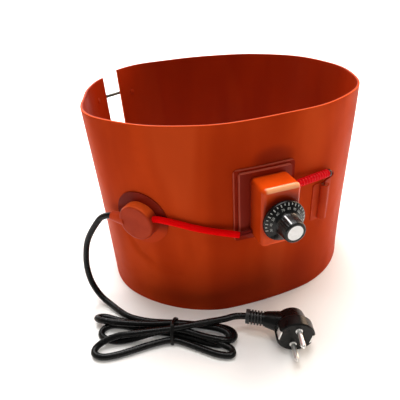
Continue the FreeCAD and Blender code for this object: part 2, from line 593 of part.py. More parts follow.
BOOT_TIP = LEVEL.multVec(BOOT_END)
boot_line = (BOOT_TIP - LEVEL.multVec(BOOT_FOOT)).normalize()
TAIL = [BOOT_TIP, BOOT_TIP + boot_line * 18 + V(0, 0, -0.6), V(-72.0, -131.5, 15.6), V(-92.0, -128.0, 14.0)]
tail = tube("cord_to_plug", TAIL, "sizes.cord_radius")
node("cord_tail", cut("cord_to_plug_made", tail, hank))

DOC.recompute()
broken = [item.Name for item in DOC.Objects if "Invalid" in item.State or "Error" in item.State]
if broken:
    raise RuntimeError(f"objects failed: {broken}")
os.makedirs("parts", exist_ok=True)
for label, thing in NODES.items():
    shape = thing.Shape
    if shape.isNull() or not shape.isValid() or shape.Volume < 0.5:
        raise RuntimeError(f"{label} has no sound shape")
    shape.exportStep(f"parts/{label}.step")
    box_of = shape.BoundBox
    print(f"{label:24s} solids {len(shape.Solids)} volume {shape.Volume:10.1f}  x {box_of.XMin:7.1f} {box_of.XMax:7.1f}"
          f"  y {box_of.YMin:7.1f} {box_of.YMax:7.1f}  z {box_of.ZMin:6.1f} {box_of.ZMax:6.1f}")
print("nodes", len(NODES))
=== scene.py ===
"""The looks of a silicone drum heater: band, thermostat, junction cap, springs, mains cord and plug.

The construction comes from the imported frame. This script gives every node its material, replaces the soft or
schematic ones with detailed meshes, lays the cord, and sets the camera, the floor and the lights.
"""
from __future__ import annotations

import json
import logging
import math
from dataclasses import dataclass, field
from enum import Enum
from typing import Callable, Iterable, Sequence

import bmesh
import bpy
from mathutils import Matrix, Vector

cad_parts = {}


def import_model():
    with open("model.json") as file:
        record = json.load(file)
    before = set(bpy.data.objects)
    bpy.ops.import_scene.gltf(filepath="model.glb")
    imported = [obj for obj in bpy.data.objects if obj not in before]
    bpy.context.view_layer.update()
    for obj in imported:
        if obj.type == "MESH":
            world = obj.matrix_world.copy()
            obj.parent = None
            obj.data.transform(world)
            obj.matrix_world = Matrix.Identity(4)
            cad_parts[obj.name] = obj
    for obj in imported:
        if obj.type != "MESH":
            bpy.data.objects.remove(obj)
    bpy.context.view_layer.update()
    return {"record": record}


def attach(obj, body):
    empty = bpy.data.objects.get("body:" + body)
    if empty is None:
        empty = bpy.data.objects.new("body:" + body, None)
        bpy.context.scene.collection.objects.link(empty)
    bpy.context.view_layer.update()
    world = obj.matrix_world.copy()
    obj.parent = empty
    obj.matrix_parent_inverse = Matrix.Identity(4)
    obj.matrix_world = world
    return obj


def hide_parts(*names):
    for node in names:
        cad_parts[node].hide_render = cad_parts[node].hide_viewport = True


logging.basicConfig(level=logging.INFO, format="%(name)s: %(message)s")
LOG = logging.getLogger("drum_heater")
MM = 0.001
Color = tuple[float, float, float]
Place = tuple[float, float, float]
Radius = Callable[[float, float, float], float]


class Body(Enum):
    """The rigid bodies that pieces ride on."""

    HEATER = "heater"
    KNOB = "knob"


# The band's line


@dataclass(frozen=True)
class BandLine:
    """The plan line of the band's outer face: arcs of length and radius, in millimetres."""

    arcs: tuple[tuple[float, float], ...] = (
        (32.5, 101), (32.5, 196), (32.5, 1656), (32.5, 99), (40, 90), (95, 156), (26, 99), (84, 397),
        (120, 120), (95, 143), (95, 138), (95, 169), (60, 880), (60, 72))
    start: tuple[float, float] = (-121.9161, 113.5235)
    heading: float = math.radians(-128.71613)

    @property
    def length(self) -> float:
        """The whole length along the outer face."""
        return sum(run for run, _ in self.arcs)

    def station(self, along: float) -> tuple[Vector, Vector, Vector]:
        """Finds a place on the line.

        Args:
            along: The distance from the band's left end, in millimetres.

        Returns:
            The point, the tangent and the outward normal.
        """
        x, y = self.start
        heading, left = self.heading, along
        for index, (run, radius) in enumerate(self.arcs):
            part = left if index == len(self.arcs) - 1 else min(run, left)
            turned = heading + part / radius
            x += (math.sin(turned) - math.sin(heading)) * radius
            y += (math.cos(heading) - math.cos(turned)) * radius
            heading, left = turned, left - part
            if left <= 1e-9:
                break
        return (Vector((x, y, 0)), Vector((math.cos(heading), math.sin(heading), 0)),
                Vector((math.sin(heading), -math.cos(heading), 0)))

    def at(self, along: float, high: float = 0.0, out: float = 0.0) -> Vector:
        """Finds a point near the band.

        Args:
            along: The distance from the band's left end, in millimetres.
            high: The height.
            out: The distance outward from the outer face.

        Returns:
            The point, in metres.
        """
        point, _, normal = self.station(along)
        return (point + normal * out + Vector((0, 0, high))) * MM

    def frame(self, along: float, high: float) -> Matrix:
        """Finds a placement on the outer face.

        Args:
            along: The distance from the band's left end, in millimetres.
            high: The height.

        Returns:
            The placement in metres, with X along the band, Y up and Z outward.
        """
        point, tangent, normal = self.station(along)
        rows = Matrix((tangent, Vector((0, 0, 1)), normal)).transposed().to_4x4()
        return Matrix.Translation((point + Vector((0, 0, high))) * MM) @ rows


LINE = BandLine()
BOX = (328.7, 135.1)  # The thermostat's middle: along the band and high, in millimetres.
CAP = (199.6, 119.9)  # The junction cap's middle, in the same way.


# Shader maths


class Signal:
    """A node socket that carries one number and can be combined with others by operators."""

    def __init__(self, surface: "Surface", socket: bpy.types.NodeSocket) -> None:
        self.surface = surface
        self.socket = socket

    def _math(self, operation: str, *values: "Signal | float") -> "Signal":
        """Joins this socket and others through one Math node.

        Args:
            operation: The operation of the Math node.
            values: The inputs, in order.

        Returns:
            The node's result.
        """
        node = self.surface.node("ShaderNodeMath", operation=operation)
        for index, value in enumerate(values):
            self.surface.feed(node.inputs[index], value)
        return Signal(self.surface, node.outputs[0])

    def __add__(self, other: "Signal | float") -> "Signal":
        """The sum of two values."""
        return self._math("ADD", self, other)

    __radd__ = __add__

    def __mul__(self, other: "Signal | float") -> "Signal":
        """The product of two values."""
        return self._math("MULTIPLY", self, other)

    def __sub__(self, other: "Signal | float") -> "Signal":
        """This value less another."""
        return self._math("SUBTRACT", self, other)

    def __abs__(self) -> "Signal":
        """This value without its sign."""
        return self._math("ABSOLUTE", self)

    def __pow__(self, other: "Signal | float") -> "Signal":
        """This value to a power."""
        return self._math("POWER", self, other)

    def sine(self) -> "Signal":
        """The sine of this value."""
        return self._math("SINE", self)

    def minimum(self, other: "Signal | float") -> "Signal":
        """The lower of two values."""
        return self._math("MINIMUM", self, other)

    def ramp(self, low: float, high: float) -> "Signal":
        """Runs smoothly from 0 to 1 while this value runs from low to high.

        Args:
            low: The value that gives 0.
            high: The value that gives 1, above or below the other.

        Returns:
            The result, held at 0 and 1 outside.
        """
        node = self.surface.node("ShaderNodeMapRange", interpolation_type="SMOOTHSTEP")
        for index, value in enumerate((self, low, high, 0.0, 1.0)):
            self.surface.feed(node.inputs[index], value)
        return Signal(self.surface, node.outputs[0])


class Surface:
    """A node material in the making."""

    def __init__(self, name: str) -> None:
        self.material = bpy.data.materials.new(name)
        self.material.use_nodes = True
        self.tree = self.material.node_tree
        self.shader = self.tree.nodes["Principled BSDF"]
        self.place = self.node("ShaderNodeTexCoord").outputs["Object"]

    def node(self, kind: str, **settings: object) -> bpy.types.Node:
        """Adds a node.

        Args:
            kind: The node's type.
            settings: Properties of the node, by name.

        Returns:
            The node.
        """
        node = self.tree.nodes.new(kind)
        for name, value in settings.items():
            setattr(node, name, value)
        return node

    def feed(self, socket: bpy.types.NodeSocket, value: object) -> None:
        """Feeds an input of a node.

        Args:
            socket: The input.
            value: A signal or a socket to link, or a plain value.
        """
        if isinstance(value, Signal):
            value = value.socket
        if isinstance(value, bpy.types.NodeSocket):
            self.tree.links.new(value, socket)
        else:
            socket.default_value = value

    def axis(self, index: int) -> Signal:
        """Reads one coordinate of the object's own space.

        Args:
            index: The axis: 0, 1 or 2.

        Returns:
            The coordinate, in metres.
        """
        split = self.node("ShaderNodeSeparateXYZ")
        self.feed(split.inputs[0], self.place)
        return Signal(self, split.outputs[index])

    def along(self, place: Matrix, index: int) -> Signal:
        """Measures from a place along one of its own axes.

        Args:
            place: The place, with its axes.
            index: The axis: 0, 1 or 2.

        Returns:
            The distance, in metres.
        """
        way = place.col[index].to_3d()
        node = self.node("ShaderNodeVectorMath", operation="DOT_PRODUCT")
        self.feed(node.inputs[0], self.place)
        node.inputs[1].default_value = way
        return Signal(self, node.outputs["Value"]) - way.dot(place.translation)

    def stretched(self, scale: tuple[float, float, float]) -> bpy.types.NodeSocket:
        """Scales the object's own space.

        Args:
            scale: A factor along each axis.

        Returns:
            The scaled coordinates.
        """
        node = self.node("ShaderNodeVectorMath", operation="MULTIPLY")
        self.feed(node.inputs[0], self.place)
        node.inputs[1].default_value = scale
        return node.outputs[0]

    def noise(self, scale: float, detail: float, stretch: tuple[float, float, float] = (1, 1, 1)) -> Signal:
        """Soft random values between 0 and 1.

        Args:
            scale: Spots to the metre.
            detail: Octaves of finer noise.
            stretch: A factor along each axis.

        Returns:
            The noise value.
        """
        node = self.node("ShaderNodeTexNoise")
        self.feed(node.inputs["Vector"], self.stretched(stretch))
        node.inputs["Scale"].default_value = scale
        node.inputs["Detail"].default_value = detail
        return Signal(self, node.outputs[0])

    def blend(self, factor: Signal, low: object, high: object) -> bpy.types.NodeSocket:
        """Mixes two colours.

        Args:
            factor: 0 for the first colour and 1 for the second.
            low: The first colour, as a value or a socket.
            high: The second colour.

        Returns:
            The mixed colour.
        """
        node = self.node("ShaderNodeMix", data_type="RGBA", clamp_factor=True)
        self.feed(node.inputs[0], factor)
        for socket, value in ((node.inputs[6], low), (node.inputs[7], high)):
            self.feed(socket, (*value, 1.0) if isinstance(value, tuple) else value)
        return node.outputs[2]

    def bump(self, height: Signal, distance: float) -> None:
        """Gives the surface fine relief.

        Args:
            height: The relief, between about 0 and 1.
            distance: How deep 1 is, in metres.
        """
        node = self.node("ShaderNodeBump")
        node.inputs["Distance"].default_value = distance
        node.inputs["Strength"].default_value = 1.0
        self.feed(node.inputs["Height"], height)
        self.feed(self.shader.inputs["Normal"], node.outputs[0])

    def set(self, **values: object) -> None:
        """Feeds inputs of the main shader.

        Args:
            values: The values by the inputs' names, with underscores for spaces.
        """
        for name, value in values.items():
            self.feed(self.shader.inputs[name.replace("_", " ")], value)


# Finishes


@dataclass(frozen=True)
class Rubber:
    """Moulded or calendered silicone rubber.

    The classes made from it paint on painted shade, painted shadows and painted highlights at places of a
    piece, as the photograph shows them.
    """

    name: str
    color: Color
    shade: Color
    roughness: float = 0.42
    mottle: float = 60.0
    grain: float = 2600.0
    relief: float = 0.00005
    specular: float = 0.45
    index: float = 1.15
    dust: float = 0.12

    def painted(self, surface: Surface) -> bpy.types.NodeSocket:
        """The colour: mottled, with any painted light and shade that a subclass adds at a place."""
        return surface.blend(surface.noise(self.mottle, 4.0).ramp(0.3, 0.72), self.color, self.shade)

    def rough(self, surface: Surface) -> Signal:
        """The roughness, uneven with dust."""
        return self.roughness + (surface.noise(420.0, 6.0).ramp(0.3, 0.8) - 0.5) * self.dust

    def bumps(self, surface: Surface) -> Signal:
        """The height of the fine relief."""
        return surface.noise(self.grain, 2.0) * 0.5 + surface.noise(150.0, 3.0) * 0.5

    def material(self) -> bpy.types.Material:
        """Builds the finish as a node material."""
        surface = Surface(self.name)
        surface.set(Base_Color=self.painted(surface), Roughness=self.rough(surface),
                    Specular_IOR_Level=self.specular, IOR=self.index)
        surface.bump(self.bumps(surface), self.relief)
        return surface.material


@dataclass(frozen=True)
class CoverRubber(Rubber):
    """The thermostat cover's glossy rubber.

    Painted on: a painted highlight strip along the top front edge, painted shade on the left wall, painted shade
    on the flange with painted highlight lines along its top and left edges, and a painted shadow round the knob.
    """

    # Painted shade on the flange and the left wall, and the knob's painted shadow.
    soot: Color = (0.21, 0.011, 0.002)
    # The painted highlight along the top front edge.
    light: Color = (1.0, 0.46, 0.20)
    # The painted highlight lines along the flange's top and left edges.
    pale: Color = (0.52, 0.10, 0.06)
    place: Matrix = field(default_factory=lambda: LINE.frame(*BOX))
    high: float = 0.03115
    deep: float = 0.0313

    def flange(self, surface: Surface) -> Signal:
        """One on the flange, nought on the box."""
        return surface.along(self.place, 2).ramp(0.0075, 0.0050)

    def strip(self, surface: Surface) -> Signal:
        """One on the painted highlight strip along the top front edge, nought elsewhere."""
        side, rise, out = (surface.along(self.place, index) for index in range(3))
        strip = abs(rise - self.high + out - self.deep + 0.0024).ramp(0.0022, 0.0008)
        return strip * side.ramp(-0.0165, -0.013) * rise.ramp(self.high - 0.0050, self.high - 0.0034)

    def painted(self, surface: Surface) -> bpy.types.NodeSocket:
        """The colour with its painted shade and painted highlights; the highlight strip gets a coat as well."""
        side, rise, out = (surface.along(self.place, index) for index in range(3))
        flange, strip = self.flange(surface), self.strip(surface)
        # Painted shade on the left wall, deeper towards the flange.
        wall = (out.ramp(0.022, 0.005) * 0.45 + 0.35) * side.ramp(-0.0165, -0.0188)
        away = (side ** 2.0 + (rise + 0.0007) ** 2.0) ** 0.5
        # The knob's painted shadow, in a ring round it on the box face.
        ring = away.ramp(0.034, 0.019) * (rise - side * 0.6).ramp(-0.02, 0.012) * out.ramp(0.0295, 0.0310)
        # Painted highlight lines along the flange's top and left edges.
        line = (rise.ramp(0.0359, 0.0363) + side.ramp(-0.0286, -0.0290)).minimum(1.0) * flange
        # Painted shade over the flange and the left wall.
        color = surface.blend((flange * 0.92 + wall).minimum(1.0), super().painted(surface), self.soot)
        color = surface.blend(line * 0.8, color, self.pale)
        color = surface.blend(ring * 0.92, color, self.soot)
        # The painted highlight strip along the top front edge, with a coat.
        surface.set(Coat_Weight=strip * 0.9, Coat_Roughness=0.28)
        return surface.blend(strip * 0.8, color, self.light)

    def rough(self, surface: Surface) -> Signal:
        """The roughness, higher on the flange."""
        return super().rough(surface) + self.flange(surface) * 0.25


@dataclass(frozen=True)
class CapRubber(Rubber):
    """The junction cap's rubber. Painted on: painted shade on the lower side wall and a painted highlight on the
    upper one.
    """

    # Painted shade for the lower side wall.
    soot: Color = (0.22, 0.016, 0.005)
    # Painted highlight for the upper side wall.
    lit: Color = (0.78, 0.10, 0.013)
    place: Matrix = field(default_factory=lambda: LINE.frame(*CAP))
    radius: float = 0.0199

    def painted(self, surface: Surface) -> bpy.types.NodeSocket:
        """The colour with its painted shade and painted highlight."""
        side, rise = (surface.along(self.place, index) for index in range(2))
        wall = ((side ** 2.0 + rise ** 2.0) ** 0.5).ramp(self.radius - 0.0014, self.radius - 0.0003)
        low, high = (rise - side * 0.5).ramp(0.012, 0.004), rise.ramp(0.009, 0.015)
        # Painted shade low on the side wall, then a painted highlight high on it.
        color = surface.blend(wall * low * 0.75, super().painted(surface), self.soot)
        return surface.blend(wall * high * 0.8, color, self.lit)


@dataclass(frozen=True)
class EdgedRubber(Rubber):
    """The thermostat pad's rubber, dark as painted shade. Painted on: pale painted highlight lines on its top
    and left edges.
    """

    # The pale painted highlight along the top and left edges.
    pale: Color = (0.52, 0.10, 0.06)
    place: Matrix = field(default_factory=lambda: LINE.frame(*BOX))
    high: float = 0.0396
    left: float = 0.0335

    def painted(self, surface: Surface) -> bpy.types.NodeSocket:
        """The colour with its painted highlight lines."""
        side, rise = (surface.along(self.place, index) for index in range(2))
        line = rise.ramp(self.high - 0.0009, self.high - 0.0005)
        line = (line + side.ramp(0.0006 - self.left, 0.0002 - self.left)).minimum(1.0)
        return surface.blend(line * 0.8, super().painted(surface), self.pale)


@dataclass(frozen=True)
class FadedRubber(Rubber):
    """The junction pad's rubber, dark as painted shade. Painted on: a fade into the band's colour low down."""

    # The band's own colour, which the painted shade fades into low down.
    faded: Color = (0.52, 0.045, 0.005)
    low: float = 0.104
    high: float = 0.120

    def painted(self, surface: Surface) -> bpy.types.NodeSocket:
        """The colour, with the painted shade fading into the band's colour low down."""
        return surface.blend(surface.axis(2).ramp(self.high, self.low), super().painted(surface), self.faded)


@dataclass(frozen=True)
class BandRubber(Rubber):
    """The band's own sheet: a weave print under a thin skin, long soft waves and a pale rim of painted
    highlight.

    Painted on: upright streaks of painted light and painted shade in place of soft folds, a painted shadow above
    the thermostat pad and painted shade low on the front.
    """

    # The painted highlight along the top rim.
    rim: Color = (0.66, 0.085, 0.018)
    # Painted shade: the shadow above the thermostat pad and the darker low front.
    soot: Color = (0.20, 0.016, 0.005)
    # Painted shade in the dark upright streaks.
    deep: Color = (0.33, 0.022, 0.002)
    # Painted light in the light upright streaks.
    faded: Color = (0.60, 0.072, 0.014)
    box: Matrix = field(default_factory=lambda: LINE.frame(*BOX))
    # How strong the streaks of painted light and shade are.
    folds: float = 1.0
    top: float = 0.22

    def painted(self, surface: Surface) -> bpy.types.NodeSocket:
        """The colour with its painted light and shade."""
        x, y, z = (surface.axis(index) for index in range(3))
        side, rise, out = (surface.along(self.box, index) for index in range(3))
        color = surface.blend(surface.noise(22.0, 3.0, (1, 1, 0.3)).ramp(0.32, 0.7), self.color, self.shade)
        color = surface.blend(surface.noise(70.0, 5.0).ramp(0.45, 0.8) * 0.3, color, self.shade)
        # Upright streaks of painted shade and painted light, in place of the shading of soft folds.
        streak = surface.noise(17.0, 1.0, (1, 1, 0.22))
        color = surface.blend(streak.ramp(0.52, 0.36) * 0.6 * self.folds, color, self.deep)
        color = surface.blend(streak.ramp(0.52, 0.68) * 0.55 * self.folds, color, self.faded)
        # A painted shadow above the thermostat pad.
        shadow_above_pad = (((side - 0.006) * 38.0) ** 2.0 + ((rise - 0.044) * 66.0) ** 2.0).ramp(1.0, 0.05)
        color = surface.blend(shadow_above_pad * out.ramp(-0.02, -0.01) * 0.7, color, self.soot)
        # Painted shade low on the front.
        low = z.ramp(0.085, 0.012) * abs(x + 0.012).ramp(0.135, 0.03) * y.ramp(-0.04, -0.085)
        color = surface.blend(low * 0.6, color, self.soot)
        # A painted highlight along the top rim.
        return surface.blend(z.ramp(self.top - 0.0005, self.top - 0.0001) * 0.8, color, self.rim)

    def rough(self, surface: Surface) -> Signal:
        """The roughness, uneven in soft clouds."""
        return self.roughness + (surface.noise(70.0, 5.0).ramp(0.3, 0.8) - 0.5) * 0.1

    def bumps(self, surface: Surface) -> Signal:
        """The height of the weave print, the grain and the long waves."""
        x, y, z = (surface.axis(index) for index in range(3))
        weave = ((z * 4200.0).sine() + ((x + y) * 4200.0).sine()) * 0.25 + 0.5
        return weave * 0.35 + surface.noise(self.grain, 2.0) * 0.5 + surface.noise(38.0, 2.0) * 2.2


@dataclass(frozen=True)
class Metal:
    """Drawn or plated metal."""

    name: str
    color: Color
    shade: Color
    roughness: float = 0.24
    brushed: tuple[float, float, float] = (1, 1, 12)

    def material(self) -> bpy.types.Material:
        """Builds the finish as a node material."""
        surface = Surface(self.name)
        brush = surface.noise(900.0, 4.0, self.brushed)
        stain = surface.noise(160.0, 4.0)
        surface.set(
            Base_Color=surface.blend(stain.ramp(0.35, 0.75), self.color, self.shade),
            Metallic=1.0,
            Roughness=self.roughness + brush.ramp(0.3, 0.7) * 0.14,
        )
        surface.bump(brush, 0.00002)
        return surface.material


@dataclass(frozen=True)
class Moulded:
    """Moulded hard or soft plastic with a faint spark texture."""

    name: str
    color: Color
    shade: Color
    roughness: float = 0.3
    relief: float = 0.00002
    specular: float = 0.5

    def painted(self, surface: Surface) -> bpy.types.NodeSocket:
        """The colour: smeared, with any painted light and shade that a subclass adds at a place."""
        return surface.blend(surface.noise(120.0, 4.0).ramp(0.35, 0.75), self.color, self.shade)

    def material(self) -> bpy.types.Material:
        """Builds the finish as a node material."""
        surface = Surface(self.name)
        surface.set(
            Base_Color=self.painted(surface),
            Roughness=self.roughness + (surface.noise(120.0, 4.0).ramp(0.3, 0.8) - 0.5) * 0.1,
            Specular_IOR_Level=self.specular,
        )
        surface.bump(surface.noise(3200.0, 2.0), self.relief)
        return surface.material


@dataclass(frozen=True)
class PlugPlastic(Moulded):
    """The plug's soft plastic. Painted on: grey rib tops as painted highlight and black grooves as painted shade
    on its boot.
    """

    # Painted highlight on the boot's rib tops.
    ribs: Color = (0.040, 0.041, 0.042)
    # Painted shade in the boot's grooves.
    groove: Color = (0.0008, 0.0008, 0.0008)
    foot: Vector = field(default_factory=lambda: Vector((-18.75, -153.92, 19.25)))
    tip: Vector = field(default_factory=lambda: Vector((-35.87, -143.12, 19.25)))
    radius: float = 0.0075

    def painted(self, surface: Surface) -> bpy.types.NodeSocket:
        """The colour with its painted highlight on the ribs and painted shade in the grooves."""
        turn = (self.tip - self.foot).to_track_quat("Z", "Y").to_matrix().to_4x4()
        place = Matrix.Translation(self.foot * MM) @ turn
        side, rise, along = (surface.along(place, index) for index in range(3))
        away = (side ** 2.0 + rise ** 2.0) ** 0.5
        boot = along.ramp(0.0015, 0.0025) * along.ramp(0.0208, 0.0203) * away.ramp(0.0090, 0.0080)
        rib = boot * away.ramp(self.radius - 0.0007, self.radius - 0.0002)
        # Painted shade in the grooves, then a painted highlight on the rib tops.
        return surface.blend(rib, surface.blend(boot, super().painted(surface), self.groove), self.ribs)


@dataclass(frozen=True)
class Braid:
    """Coated woven sleeving: fine crossed ribs under a glossy skin."""

    name: str
    color: Color
    shade: Color
    pitch: float = 0.0011

    def material(self) -> bpy.types.Material:
        """Builds the finish as a node material."""
        surface = Surface(self.name)
        x, y, z = (surface.axis(index) for index in range(3))
        turn = 2 * math.pi / self.pitch
        rib = ((x + z * 0.8) * turn).sine() * 0.5 + 0.5
        cross = ((x - z * 0.8 + y * 0.4) * turn).sine() * 0.5 + 0.5
        weave = rib.minimum(cross)
        surface.set(
            Base_Color=surface.blend(weave.ramp(0.0, 0.7), self.shade, self.color),
            Roughness=0.5,
            Specular_IOR_Level=0.1,
        )
        surface.bump(weave, 0.00012)
        return surface.material


FINISHES = {
    "silicone": BandRubber("band_silicone", (0.53, 0.052, 0.007), (0.42, 0.036, 0.004), specular=0.07),
    # The inner face is the band's rubber darkened as painted shade, with a faint painted highlight rim and weak
    # painted streaks.
    "silicone_inner": BandRubber("inner_silicone", (0.30, 0.019, 0.002), (0.25, 0.015, 0.002), 0.4,
                                 specular=0.3, rim=(0.34, 0.030, 0.006), folds=0.12),
    "silicone_cover": CoverRubber("cover_silicone", (0.74, 0.070, 0.004), (0.66, 0.058, 0.003), 0.22,
                                  relief=0.00004, specular=0.4, index=1.25, dust=0.08),
    "silicone_matt": Rubber("patch_silicone", (0.50, 0.050, 0.012), (0.43, 0.040, 0.009), 0.4, specular=0.3),
    "silicone_cap": CapRubber("cap_silicone", (0.42, 0.042, 0.011), (0.35, 0.032, 0.008), 0.4, specular=0.4),
    # The thermostat pad's dark colour is painted shade.
    "silicone_pad": EdgedRubber("edged_silicone", (0.27, 0.015, 0.003), (0.22, 0.012, 0.002), specular=0.25),
    # The junction pad's dark colour is painted shade.
    "silicone_ring": FadedRubber("ring_silicone", (0.20, 0.012, 0.004), (0.16, 0.010, 0.003), 0.4,
                                 specular=0.3),
    "silicone_dark": Rubber("pad_silicone", (0.31, 0.017, 0.003), (0.26, 0.014, 0.002), specular=0.25),
    "red_sleeving": Rubber("red_sleeving", (0.86, 0.0015, 0.003), (0.76, 0.001, 0.002), 0.35, mottle=90.0,
                           grain=1900.0, relief=0.00006, specular=0.12),
    "red_braid": Braid("red_braid", (1.0, 0.003, 0.014), (0.66, 0.001, 0.006)),
    "lead_insulation": Rubber("lead_silicone", (0.2, 0.012, 0.008), (0.12, 0.01, 0.008), 0.5, specular=0.15),
    "spring_steel": Metal("spring_steel", (0.13, 0.12, 0.10), (0.08, 0.08, 0.07), 0.3),
    "plated_steel": Metal("plated_steel", (0.60, 0.60, 0.59), (0.46, 0.46, 0.45), 0.3),
    "phenolic": Moulded("phenolic", (0.03, 0.022, 0.02), (0.02, 0.016, 0.015), 0.5),
    "brass": Metal("brass", (0.80, 0.58, 0.27), (0.66, 0.46, 0.2), 0.28),
    "black_knob": Moulded("knob_plastic", (0.003, 0.003, 0.003), (0.005, 0.005, 0.005), 0.26, 0.000015, 0.26),
    "white_cap": Moulded("cap_plastic", (0.93, 0.93, 0.93), (0.90, 0.90, 0.90)),
    "copper_tube": Metal("copper_tube", (0.78, 0.40, 0.25), (0.6, 0.3, 0.18), 0.3),
    "cord_sheath": Moulded("cord_sheath", (0.003, 0.003, 0.003), (0.006, 0.006, 0.006), 0.28, 0.00003, 0.17),
    "plug_plastic": PlugPlastic("plug_plastic", (0.0035, 0.0035, 0.0035), (0.007, 0.007, 0.007), 0.3, 0.00003,
                                0.18),
    "plug_metal": Metal("plug_nickel", (0.86, 0.86, 0.84), (0.76, 0.76, 0.74), 0.3),
    "clip_steel": Metal("clip_steel", (0.97, 0.97, 0.96), (0.92, 0.92, 0.91), 0.5),
    "splice_sleeve": Moulded("splice_sleeve", (0.6, 0.6, 0.56), (0.5, 0.5, 0.46), 0.4),
    "print_faded": Moulded("faded_print", (0.46, 0.47, 0.45), (0.30, 0.31, 0.30), 0.5),
    "print_white": Moulded("dial_print", (0.82, 0.82, 0.82), (0.74, 0.74, 0.74), 0.45),
}

# The nodes whose finish isn't the one of their slot.
OWN_FINISH = {
    "thermostat_pad": "silicone_pad", "earth_clips": "clip_steel", "junction_cap": "silicone_cap",
    "junction_pad": "silicone_ring", "capillary_tube": "silicone_dark", "sensor_patch": "silicone_matt",
    "cord_relief": "silicone_matt",
}


class Palette:
    """Makes each finish once and hands it out."""

    def __init__(self) -> None:
        self._made: dict[str, bpy.types.Material] = {}

    def __getitem__(self, name: str) -> bpy.types.Material:
        """Finds a finish, and makes it the first time.

        Args:
            name: The finish's name in FINISHES.

        Returns:
            The material.
        """
        if name not in self._made:
            self._made[name] = FINISHES[name].material()
        return self._made[name]


# Geometry helpers


class Maker:
    """Turns point lists into pieces that ride on a body."""

    def __init__(self, palette: Palette) -> None:
        self.palette = palette

    def piece(self, name: str, verts: Sequence[Vector], faces: Sequence[Sequence[int]], finish: str,
              body: Body = Body.HEATER, smooth: bool = True) -> bpy.types.Object:
        """Makes one mesh piece.

        Args:
            name: The piece's name.
            verts: Its points, in metres.
            faces: Its faces.
            finish: The name of its finish.
            body: The body that it rides on.
            smooth: Whether its faces are shaded smooth.

        Returns:
            The object.
        """
        mesh = bpy.data.meshes.new(name)
        mesh.from_pydata([tuple(vert) for vert in verts], [], [tuple(face) for face in faces])
        work = bmesh.new()
        work.from_mesh(mesh)
        bmesh.ops.remove_doubles(work, verts=work.verts, dist=1e-7)
        bmesh.ops.recalc_face_normals(work, faces=work.faces)
        work.to_mesh(mesh)
        work.free()
        thing = bpy.data.objects.new(name, mesh)
        bpy.context.collection.objects.link(thing)
        mesh.materials.append(self.palette[finish])
        for polygon in mesh.polygons:
            polygon.use_smooth = smooth
        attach(thing, body.value)
        LOG.info("%s: %d faces", name, len(mesh.polygons))
        return thing

    def lathe(self, name: str, outline: Sequence[tuple[float, float]], place: Matrix, finish: str,
              body: Body = Body.HEATER, sides: int = 32, radius: Radius | None = None) -> bpy.types.Object:
        """Turns an outline about the Z of a place.

        Args:
            name: The piece's name.
            outline: Pairs of radius and height, in millimetres.
            place: Where it stands.
            finish: The name of its finish.
            body: The body that it rides on.
            sides: The steps round.
            radius: Changes a radius by its height and angle.

        Returns:
            The object.
        """
        verts, faces = [], []
        rows = len(outline)
        for side in range(sides):
            angle = 2 * math.pi * side / sides
            for reach, high in outline:
                real = radius(reach, high, angle) if radius else reach
                point = Vector((real * math.cos(angle) * MM, real * math.sin(angle) * MM, high * MM))
                verts.append(place @ point)
        for side in range(sides):
            here, there = side * rows, (side + 1) % sides * rows
            for row in range(rows - 1):
                faces.append((here + row, here + row + 1, there + row + 1, there + row))
        return self.piece(name, verts, faces, finish, body)

    def tube(self, name: str, path: Sequence[Vector], radii: Sequence[float], finish: str,
             sides: int) -> bpy.types.Object:
        """Runs a round section along a path.

        Args:
            name: The piece's name.
            path: The points of its middle line, in metres.
            radii: The radius at each point, in metres.
            finish: The name of its finish.
            sides: The steps round.

        Returns:
            The object.
        """
        verts, faces = [], []
        side_way = None
        for index, point in enumerate(path):
            ahead = path[min(index + 1, len(path) - 1)] - path[max(index - 1, 0)]
            ahead.normalize()
            if side_way is None:
                side_way = ahead.orthogonal().normalized()
            side_way = (side_way - ahead * side_way.dot(ahead)).normalized()
            across = ahead.cross(side_way)
            for side in range(sides):
                angle = 2 * math.pi * side / sides
                verts.append(point + (side_way * math.cos(angle) + across * math.sin(angle)) * radii[index])
        for index in range(len(path) - 1):
            for side in range(sides):
                here, near = index * sides + side, index * sides + (side + 1) % sides
                faces.append((here, near, near + sides, here + sides))
        faces.append(tuple(range(sides)))
        last = (len(path) - 1) * sides
        faces.append(tuple(range(last, last + sides)))
        return self.piece(name, verts, faces, finish)


def laid_curve(name: str, points: Sequence[Vector], steps: int) -> bpy.types.Curve:
    """Lays a smooth spline by its control points.

    Args:
        name: The curve's name.
        points: The control points, in metres.
        steps: Samples between two control points.

    Returns:
        The curve.
    """
    curve = bpy.data.curves.new(name, "CURVE")
    curve.dimensions = "3D"
    spline = curve.splines.new("NURBS")
    spline.points.add(len(points) - 1)
    for target, point in zip(spline.points, points):
        target.co = (*point, 1.0)
    spline.order_u = 3
    spline.use_endpoint_u = True
    spline.resolution_u = steps
    return curve


def smooth_path(points: Sequence[Vector], steps: int) -> list[Vector]:
    """Samples the spline of some control points.

    Args:
        points: The control points, in metres.
        steps: Samples between two control points.

    Returns:
        Points along the spline.
    """
    curve = laid_curve("path", points, steps)
    thing = bpy.data.objects.new("path", curve)
    mesh = bpy.data.meshes.new_from_object(thing)
    path = [vert.co.copy() for vert in mesh.vertices]
    bpy.data.objects.remove(thing)
    bpy.data.curves.remove(curve)
    bpy.data.meshes.remove(mesh)
    return path


def falloff(value: float, reach: float) -> float:
    """A soft bell of one at nought."""
    return math.exp(-(value / reach) ** 2)


# Sub-assemblies


